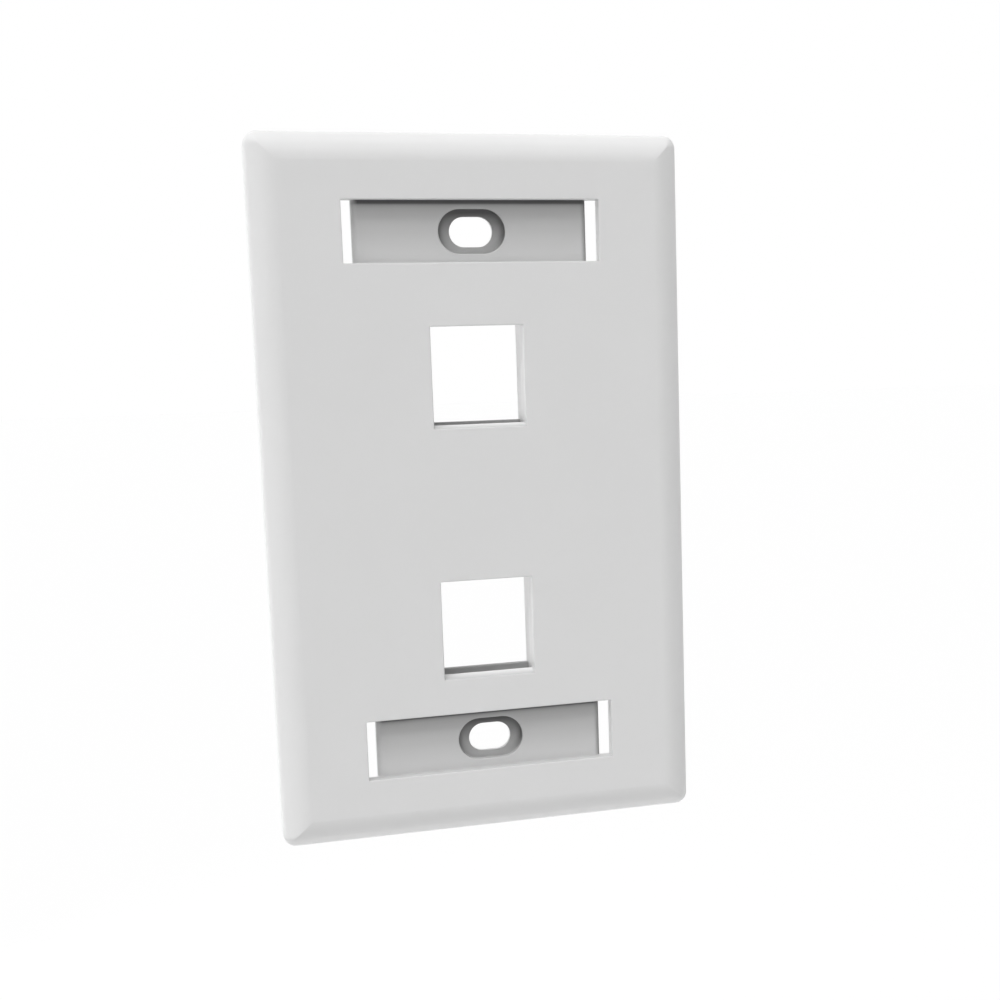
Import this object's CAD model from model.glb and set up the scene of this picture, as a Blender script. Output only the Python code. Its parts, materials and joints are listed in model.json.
# %% [markdown]
# # A keystone wall plate, finished and lit
#
# The part is one injection moulding in white plastic: a shallow shell with two ports for snap-in jacks, two
# recessed label windows, and a counterbored slot in each window for a cover screw. Its form comes ready made
# from the construction model. This lesson gives it what that model cannot hold: the tiny rounding that every
# moulded edge has, the finish of the plastic inside and out, and a plain studio to look at it in.
#
# Blender works in metres here. The plate stands upright: X runs across it, Z runs up it, and its face looks
# along -Y.

# %% Open the construction model
import json
import math

import bpy
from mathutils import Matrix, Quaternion, Vector


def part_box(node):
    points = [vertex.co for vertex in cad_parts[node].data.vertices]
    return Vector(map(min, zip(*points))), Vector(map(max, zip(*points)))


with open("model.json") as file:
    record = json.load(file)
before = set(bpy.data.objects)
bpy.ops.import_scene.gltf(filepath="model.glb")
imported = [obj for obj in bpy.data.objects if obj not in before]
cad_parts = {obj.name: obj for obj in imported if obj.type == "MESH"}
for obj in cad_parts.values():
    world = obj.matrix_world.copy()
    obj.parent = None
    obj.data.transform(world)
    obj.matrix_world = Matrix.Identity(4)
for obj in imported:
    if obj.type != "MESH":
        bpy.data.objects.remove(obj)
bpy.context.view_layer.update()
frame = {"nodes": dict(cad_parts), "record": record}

MM = 0.001
low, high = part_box("faceplate")
centre = (low + high) / 2
width, depth, height = high - low
face_y = low.y
mounts = {mount["name"]: Vector(mount["pos_m"]) for mount in frame["record"]["mounts"]}
print("plate %.2f x %.2f mm, %.2f mm deep" % (width / MM, height / MM, depth / MM))
print("mounts:", ", ".join(sorted(mounts)))

# %% [markdown]
# ## Arithmetic with shader sockets
#
# A procedural finish is a small calculation that the renderer does at every point of the surface. Blender
# stores it as a graph of nodes, which is slow to read when it is written out node by node. Two short classes
# let it be written as ordinary arithmetic instead. `Value` wraps one output socket, and each operator on it
# adds the Math node that does the sum. `Graph` owns one graph of nodes, and its method `node` adds any node
# from its type, its settings, and the values or links of its sockets. Materials, the floor and the world are
# all built with it.

# %% A socket that can be added and multiplied
class Value:
    """One output socket of a node, usable in Python arithmetic."""

    def __init__(self, graph, socket):
        self.graph = graph
        self.socket = socket

    def _math(self, operation, first, second):
        return self.graph.node("Math", {"operation": operation}, {0: first, 1: second})["Value"]

    def __add__(self, other):
        return self._math("ADD", self, other)

    def __sub__(self, other):
        return self._math("SUBTRACT", self, other)

    def __rsub__(self, other):
        return self._math("SUBTRACT", other, self)

    def __mul__(self, other):
        return self._math("MULTIPLY", self, other)

    def __truediv__(self, other):
        return self._math("DIVIDE", self, other)

    def __gt__(self, other):
        return self._math("GREATER_THAN", self, other)

    def __lt__(self, other):
        return self._math("LESS_THAN", self, other)

    def __abs__(self):
        return self._math("ABSOLUTE", self, 0.0)

    __radd__ = __add__
    __rmul__ = __mul__

    def sign(self):
        """-1 below zero and 1 above it."""
        return self._math("SIGN", self, 0.0)

    def either(self, other):
        """The larger of two masks: 1 where one or the other is."""
        return self._math("MAXIMUM", self, other)

    def between(self, start, end):
        """1 where the value lies between the two numbers."""
        return (self > start) * (self < end)

    def rise(self, start, end):
        """0 on the near side of the start, 1 on the far side of the end, and even in between."""
        span = {"Value": self, "From Min": start, "From Max": end, "To Min": 0.0, "To Max": 1.0}
        return self.graph.node("MapRange", {"clamp": True}, span)["Result"]


# %% A graph and its one way of adding nodes
class Graph:
    """A node graph that is built by calls to node()."""

    def __init__(self, owner):
        owner.use_nodes = True
        self.owner = owner
        self.tree = owner.node_tree
        self.tree.nodes.clear()

    def node(self, kind, settings=None, inputs=None):
        """Add one node. The result gives its outputs by name."""
        made = self.tree.nodes.new("ShaderNode" + kind)
        for name, value in (settings or {}).items():
            if name == "stops":
                self.fill_ramp(made.color_ramp, value)
            else:
                setattr(made, name, value)
        for name, value in (inputs or {}).items():
            socket = self.find(made.inputs, name)
            if isinstance(value, Value):
                self.tree.links.new(value.socket, socket)
            else:
                socket.default_value = value
        return {s.name: Value(self, s) for s in made.outputs if s.enabled}

    @staticmethod
    def fill_ramp(ramp, stops):
        """Give a colour ramp these pairs of position and colour."""
        ramp.elements.remove(ramp.elements[1])
        ramp.elements[0].position, ramp.elements[0].color = stops[0]
        for position, colour in stops[1:]:
            ramp.elements.new(position).color = colour

    @staticmethod
    def find(sockets, name):
        """A socket by its number, or the one of that name that the node's settings leave in use."""
        if isinstance(name, int):
            return sockets[name]
        return [s for s in sockets if s.name == name and s.enabled][0]

    def blend(self, share, first, second):
        """A colour that goes from the first to the second as share goes from 0 to 1."""
        settings = {"data_type": "RGBA", "blend_type": "MIX"}
        return self.node("Mix", settings, {"Factor": share, "A": first, "B": second})["Result"]

    def seen_directly(self):
        """1 for rays from the camera, from gloss and through glass, 0 for rays that carry light."""
        rays = self.node("LightPath")
        return rays["Is Camera Ray"].either(rays["Is Glossy Ray"]).either(rays["Is Transmission Ray"])

    def show(self, shader, kind="OutputMaterial"):
        """Send a shader to the surface, and say how large the graph is."""
        self.node(kind, {}, {"Surface": shader})
        print("%s: %d nodes" % (self.owner.name, len(self.tree.nodes)))


def grey(value):
    return (value, value, value, 1.0)


# %% [markdown]
# ## Where each finish begins and ends
#
# A mould has two halves, and each leaves its own skin on the part. The cavity half is polished and forms the
# face and the outer sides. The core half is left as it was machined, and forms the back. Inside the face the
# toolmaker also leaves the floors of the windows and the screw seats unpolished, because nothing shows there
# once a label and its cover are in.
#
# These areas could be picked face by face and given materials of their own. Working them out from the place
# and the direction of the surface is shorter, and it stays right when the model is made again. The heights of
# windows and ports come from the model's mounts. The other sizes are listed here.
#
# Each mask is 1 inside its area and 0 outside, so multiplying two masks keeps what they share. The normal
# tells which way the surface looks: its part along an axis passes FACING within sixty degrees of that axis,
# and passes SLOPING where the surface only leans that way, as on the roundings.

# %% Sizes of the areas
WINDOW_HALF = 4.9 * MM
WINDOW_MARGIN = 0.3 * MM
FLOOR_HALF_WIDTH = 19.04 * MM
SEAT_HALF = 3.5 * MM
SEAT_HALF_WIDTH = 5.7 * MM
PORT_HALF_WIDTH = 7.7 * MM
BARS_HALF_HEIGHT = 10.8 * MM
HALF_RIM = 1.0 * MM
DEPTHS = {
    "window sill": (0.02, 1.6),
    "window roof": (0.9, 1.6),
    "window floor": (1.2, 2.55),
    "screw seat": (1.55, 2.55),
    "port mouth": (0.02, 2.2),
    "catch bars": (3.0, 7.0),
    "core side": (1.9, 7.0),
}
for area, (start, end) in DEPTHS.items():
    print("%-12s %.2f to %.2f mm behind the face" % (area, start, end))


# %% Masks from place and direction
FACING = 0.5
SLOPING = 0.3


class Zones:
    """Masks that tell the differently finished areas of the plate apart."""

    def __init__(self, graph):
        surface = graph.node("TexCoord")
        self.place = surface["Object"]
        self.across, inward, self.up = graph.node("SeparateXYZ", {}, {0: self.place}).values()
        self.aside, self.back, self.upright = graph.node("SeparateXYZ", {}, {0: surface["Normal"]}).values()
        self.behind = inward - face_y
        self.above_middle = self.up - self.up.sign() * mounts["window_upper"].z
        self.find_windows()
        self.find_ports()
        inside_rim = (abs(self.across) < width / 2 - HALF_RIM) * (abs(self.up) < height / 2 - HALF_RIM)
        self.core_side = inside_rim * self.at_depth("core side")
        self.core_floor = self.core_side * (self.back > FACING)

    def at_depth(self, area):
        """1 between the two depths that are listed for this area."""
        start, end = DEPTHS[area]
        return self.behind.between(start * MM, end * MM)

    def find_windows(self):
        """The windows' floors, upper walls and lower walls, and the screw seats in the floors."""
        window = abs(self.above_middle) < WINDOW_HALF + WINDOW_MARGIN
        floor = (abs(self.across) < FLOOR_HALF_WIDTH) * (abs(self.upright) < FACING)
        self.window_floor = window * floor * self.at_depth("window floor")
        self.window_roof = window * (self.upright < -FACING) * self.at_depth("window roof")
        self.window_sill = window * (self.upright > SLOPING) * self.at_depth("window sill")
        self.seat = window * (abs(self.across) < SEAT_HALF_WIDTH) * self.at_depth("screw seat")

    def find_ports(self):
        """The ports' side walls and lower lips, and the catch bars behind them."""
        upper = abs(self.up - mounts["port_upper"].z) < BARS_HALF_HEIGHT
        lower = abs(self.up - mounts["port_lower"].z) < BARS_HALF_HEIGHT
        port = (abs(self.across) < PORT_HALF_WIDTH) * upper.either(lower)
        self.port_sides = port * (abs(self.aside) > FACING) * self.at_depth("port mouth")
        self.port_lips = port * (self.upright > SLOPING) * self.at_depth("port mouth")
        bar = (abs(self.aside) < FACING) * (self.back < FACING)
        self.bars = port * bar * self.at_depth("catch bars")


# %% [markdown]
# ## The plastic
#
# Up close, four things tell the real plate apart from plain white paint:
#
# - the face has a very fine, even grain, a third of a millimetre across
# - the melt cools unevenly, so broad areas are a little shinier or duller than their neighbours
# - the recesses look greyer than the face, the deep ones most, and their corners collect shade
# - the back has faint cutter marks, and shallow rings where round pins push the part out of the mould
#
# All of it could be painted on an unwrapped surface, but the grain is finer than any sensible picture. Noise
# that is worked out from the position in the plate has no seams and no limit to its detail, so that is used.

# %% Noise in the plastic
GRAIN = 0.32 * MM
FLOW = 11.0 * MM
TONE = 19.0 * MM


def noise(graph, place, size, detail):
    """Even noise between 0 and 1, whose lumps are about this many metres across."""
    settings = {"noise_dimensions": "3D", "normalize": True}
    sockets = {"Vector": place, "Scale": 1 / size, "Detail": detail, "Roughness": 0.55}
    return graph.node("TexNoise", settings, sockets)["Fac"]


print("grain %.2f mm, shine varies over %.0f mm, tone over %.0f mm" % (GRAIN / MM, FLOW / MM, TONE / MM))

# %% [markdown]
# ## Shade in the recesses
#
# The light comes from above, so a recess is darkest under its upper edge and opens up towards its lower one.
# The lamps give most of that. Soft light that creeps in from all sides fills such small recesses too much,
# though, so part of the shade is laid into the colour. Each table below holds pairs: how far from an edge, in
# millimetres, and the grey that the plastic has there.

# %% Tones of the plastic
WHITE = grey(0.720)
SHADE = grey(0.700)
ROOF_TONE = grey(0.120)
SILL_TONE = grey(0.480)
SIDE_TONE = grey(0.660)
BAR_TONE = grey(0.420)
CORNER_TONE = grey(0.090)
FLOOR_TONES = [
    (0.0, 0.06), (0.48, 0.07), (0.70, 0.27), (0.95, 0.37), (1.3, 0.43), (2.0, 0.485),
    (3.2, 0.525), (5.0, 0.535), (7.5, 0.60), (9.0, 0.645), (9.8, 0.68),
]
SEAT_TONES = [
    (0.0, 0.04), (0.5, 0.06), (0.9, 0.12), (1.5, 0.19), (3.5, 0.32), (5.0, 0.38), (6.1, 0.42), (7.0, 0.48),
]
LIP_TONES = [(0.0, 0.47), (0.5, 0.51), (1.9, 0.75)]


def tone_down(graph, away, tones):
    """A grey that depends on how far from an edge a point lies."""
    whole = tones[-1][0] * MM
    stops = [(at * MM / whole, grey(tone)) for at, tone in tones]
    return graph.node("ValToRGB", {"stops": stops}, {"Fac": away / whole})["Color"]


for name, table in (("window floor", FLOOR_TONES), ("screw seat", SEAT_TONES), ("port lip", LIP_TONES)):
    print("%-12s grey %.2f to %.2f over %.1f mm" % (name, table[0][1], table[-1][1], table[-1][0]))

# %% Dark corners of the screw seats
CORNER_REACH = 1.4 * MM
CORNER_SHARE = 0.7


def seat_corners(graph, zones):
    """0 on the open floor of a screw seat, rising at the foot of its upper wall."""
    open_sky = graph.node("AmbientOcclusion", {"samples": 12}, {"Distance": CORNER_REACH})["AO"]
    shade = open_sky.rise(0.92, 0.55)
    upper = zones.above_middle.rise(-2.6 * MM, -0.6 * MM)
    return CORNER_SHARE * shade * upper * zones.seat


# %% Shade laid over the plain colour
ROLL_DARK = 0.75
ROLL_LIGHT = 0.6


def recess_shade(graph, zones, colour):
    """Blend the tone of each recess over the colour, one after the other."""
    floor_tone = tone_down(graph, WINDOW_HALF - zones.above_middle, FLOOR_TONES)
    seat_tone = tone_down(graph, SEAT_HALF - zones.above_middle, SEAT_TONES)
    lip_tone = tone_down(graph, zones.behind, LIP_TONES)
    rolled = zones.aside * zones.window_floor
    layers = [
        (zones.window_floor, floor_tone),
        (ROLL_DARK * rolled.either(0.0), ROOF_TONE),
        (ROLL_LIGHT * (0.0 - rolled).either(0.0), WHITE),
        (zones.window_roof, ROOF_TONE),
        (zones.window_sill, SILL_TONE),
        (zones.port_sides, SIDE_TONE),
        (zones.port_lips, lip_tone),
        (zones.bars, BAR_TONE),
        (zones.seat, seat_tone),
        (seat_corners(graph, zones), CORNER_TONE),
    ]
    for share, tone in layers:
        colour = graph.blend(share, colour, tone)
    print("recess shade: %d layers" % len(layers))
    return colour


# %% [markdown]
# ## Marks that the mould leaves on the back
#
# Cutters leave fine lines on the core half, and the ends of the ejector pins print shallow discs. Both are
# two tenths of a millimetre or less, too little to model, so they are given to the bump of the surface as
# heights. Every height here is counted in heights of the grain.

# %% Cutter marks and pin prints
PINS = [(16.2, 28.0), (16.2, 10.0), (16.2, -10.6), (16.2, -28.2), (28.6, 44.0), (28.6, -44.0)]
PIN_FLAT = 1.8 * MM
PIN_RADIUS = 2.15 * MM
PIN_DEPTH = 36.0
CUTTER_HEIGHT = 2.5
CUTTER_LINES = {"Scale": 0.35 / MM, "Distortion": 0.8, "Detail": 1.0, "Detail Scale": 0.3}


def pin_marks(graph, zones):
    """1 on the round prints of the ejector pins, in pairs left and right of the middle."""
    prints = None
    for x, z in PINS:
        from_pin = {"X": abs(zones.across) - x * MM, "Y": zones.up - z * MM, "Z": 0.0}
        arm = graph.node("CombineXYZ", {}, from_pin)["Vector"]
        radius = graph.node("VectorMath", {"operation": "LENGTH"}, {0: arm})["Value"]
        disc = radius.rise(PIN_RADIUS, PIN_FLAT)
        prints = disc if prints is None else prints.either(disc)
    return prints


def back_marks(graph, zones):
    """Height of the cutter marks and pin prints on the back."""
    lines = dict(CUTTER_LINES, Vector=zones.place)
    cutter = graph.node("TexWave", {"wave_type": "BANDS", "bands_direction": "Z"}, lines)["Fac"]
    return (cutter * CUTTER_HEIGHT - pin_marks(graph, zones) * PIN_DEPTH) * zones.core_floor


print("%d pin prints, %.1f mm across" % (2 * len(PINS), 2 * PIN_RADIUS / MM))

# %% [markdown]
# ## One material for the whole plate
#
# The colour, the shine and the relief now come together in a Principled shader. The Bevel node bends the
# normals near every edge, so each edge catches the light as a moulded one does, and the mesh stays as it is.

# %% Moulded white plastic
POLISHED = 0.38
UNPOLISHED = 0.58
UNEVEN_SHINE = 0.05
GRAIN_SHINE = 0.04
EDGE_ROUNDING = 0.35 * MM
GRAIN_HEIGHT = 0.006 * MM
FLOW_HEIGHT = 6.0


def moulded_plastic():
    """The white plastic, polished outside and as machined inside."""
    material = bpy.data.materials.new("moulded_plastic")
    graph = Graph(material)
    zones = Zones(graph)
    grain = noise(graph, zones.place, GRAIN, 2.0)
    flow = noise(graph, zones.place, FLOW, 1.0)
    tone = noise(graph, zones.place, TONE, 2.0)

    colour = graph.blend(tone, WHITE, SHADE)
    colour = recess_shade(graph, zones, colour)

    dull = zones.window_floor.either(zones.seat).either(zones.core_side)
    roughness = POLISHED + (UNPOLISHED - POLISHED) * dull
    roughness = roughness + UNEVEN_SHINE * (flow - 0.5) + GRAIN_SHINE * (grain - 0.5)

    edge = graph.node("Bevel", {"samples": 6}, {"Radius": EDGE_ROUNDING})["Normal"]
    relief = grain * (0.5 + 0.5 * dull) + FLOW_HEIGHT * flow + back_marks(graph, zones)
    bump = {"Strength": 0.35, "Distance": GRAIN_HEIGHT, "Height": relief, "Normal": edge}
    normal = graph.node("Bump", {}, bump)["Normal"]
    skin = {"Base Color": colour, "Roughness": roughness, "IOR": 1.53, "Normal": normal}
    graph.show(graph.node("BsdfPrincipled", {}, skin)["BSDF"])
    return material


plate = frame["nodes"]["faceplate"]
plate.data.materials.clear()
plate.data.materials.append(moulded_plastic())

# %% [markdown]
# ## The floor and the surroundings
#
# The plate is held up by its cover screws when it is in use, so here it hangs clear of the floor. A plain
# pale floor and a white room are wanted round it, without pouring so much light over the plate that its
# edges burn out. Light Path makes that possible: rays that the camera and the gloss send out see the
# surroundings as white, while the rays that carry light from them to the plate find only a soft fill. The
# floor is lifted towards white in the same way, but not all of the way, so the shadow of the plate still
# lies on it.

# %% White surroundings
FILL = 0.25
world = bpy.data.worlds.new("studio")
bpy.context.scene.world = world
sky = Graph(world)
fill_light = sky.node("Background", {}, {"Color": grey(1.0), "Strength": FILL})["Background"]
white_view = sky.node("Background", {}, {"Color": grey(1.0), "Strength": 1.0})["Background"]
either = {"Fac": sky.seen_directly(), 1: fill_light, 2: white_view}
sky.show(sky.node("MixShader", {}, either)["Shader"], "OutputWorld")

# %% Pale floor
FLOOR_DROP = 193 * MM
FLOOR_REACH = 8.0
FLOOR_LIFT = 0.80
FLOOR_GREY = 0.80
floor_z = low.z - FLOOR_DROP
square = [(-1, -1), (1, -1), (1, 1), (-1, 1)]
corners = [(x * FLOOR_REACH, y * FLOOR_REACH, floor_z) for x, y in square]
floor_mesh = bpy.data.meshes.new("floor")
floor_mesh.from_pydata(corners, [], [(0, 1, 2, 3)])
floor = bpy.data.objects.new("floor", floor_mesh)
bpy.context.scene.collection.objects.link(floor)

paint = bpy.data.materials.new("pale_floor")
ground = Graph(paint)
matt = ground.node("BsdfPrincipled", {}, {"Base Color": grey(FLOOR_GREY), "Roughness": 1.0})["BSDF"]
lifted = ground.node("Emission", {}, {"Color": grey(1.0), "Strength": 1.0})["Emission"]
either = {"Fac": FLOOR_LIFT * ground.seen_directly(), 1: matt, 2: lifted}
ground.show(ground.node("MixShader", {}, either)["Shader"])
floor_mesh.materials.append(paint)
print("floor %.0f mm below the plate" % (FLOOR_DROP / MM))

# %% [markdown]
# ## The lamps
#
# The light is that of a catalogue picture: a broad key from nearly overhead, and a second one from the
# upper left that grazes the face. A weak lamp from the right keeps the walls on that side from going dark,
# and a rim light from behind the left edge picks out the side that rolls away from the camera. Sun lamps
# thirty degrees wide light the whole plate and the floor evenly, as large soft boxes far away would. The
# rim light stands level with the plate, where the floor would hide half of a sun, so it is a square panel
# instead.
#
# Each lamp has a turn to the right of straight ahead and a rise, in degrees as seen from the plate. Its
# strength is written as a share: the brightness that it alone would give to a white card turned towards it.

# %% Lamps
SOFTNESS = math.radians(30)
PANEL_AWAY = 0.45
LAMPS = [
    ("key_overhead", "SUN", -25, 70, 0.68),
    ("key_left", "SUN", -75, 50, 0.38),
    ("side_right", "SUN", 75, 50, 0.05),
    ("rim_left", "AREA", -135, 0, 0.38),
]


def light_plate(name, kind, turn, rise, share):
    """Add one lamp that points at the middle of the plate."""
    turn = math.radians(turn)
    rise = math.radians(rise)
    way = Vector((math.sin(turn) * math.cos(rise), -math.cos(turn) * math.cos(rise), math.sin(rise)))
    lamp = bpy.data.lights.new(name, kind)
    if kind == "SUN":
        lamp.angle = SOFTNESS
        lamp.energy = math.pi * share
    else:
        lamp.size = 2 * PANEL_AWAY * math.tan(SOFTNESS / 2)
        lamp.energy = math.pi ** 2 * share * PANEL_AWAY ** 2
    holder = bpy.data.objects.new(name, lamp)
    bpy.context.scene.collection.objects.link(holder)
    holder.location = centre + way * PANEL_AWAY
    holder.rotation_mode = "QUATERNION"
    holder.rotation_quaternion = way.to_track_quat("Z", "Y")
    holder.visible_camera = False
    holder.visible_glossy = False
    print("%-13s %-4s share %.2f, at height %+.2f m" % (name, kind, share, holder.location.z))


for row in LAMPS:
    light_plate(*row)

# %% [markdown]
# ## The camera
#
# It stands a little left of the plate's middle and looks slightly down, from about 23 cm: near enough for
# the far edge to look plainly shorter than the near one. A small roll tips the plate to the side, and a small
# shift of the lens moves it within the frame without changing its perspective.

# %% Camera
eye = Vector((-43.3, -233.0, 21.9)) * MM
aim = Vector((17.4, face_y / MM, -10.9)) * MM
ROLL = math.radians(-1.58)
camera = bpy.data.cameras.new("camera")
camera.lens = 50.9
camera.sensor_width = 36.0
camera.shift_x = -0.088
camera.shift_y = 0.051
camera.clip_start = 10 * MM
tripod = bpy.data.objects.new("camera", camera)
bpy.context.scene.collection.objects.link(tripod)
tripod.location = eye
tripod.rotation_mode = "QUATERNION"
level = (aim - eye).to_track_quat("-Z", "Y")
tripod.rotation_quaternion = level @ Quaternion((0, 0, 1), ROLL)
bpy.context.scene.camera = tripod
bpy.context.scene.view_settings.view_transform = "Standard"
print("camera %.0f mm from the face" % ((aim - eye).length / MM))
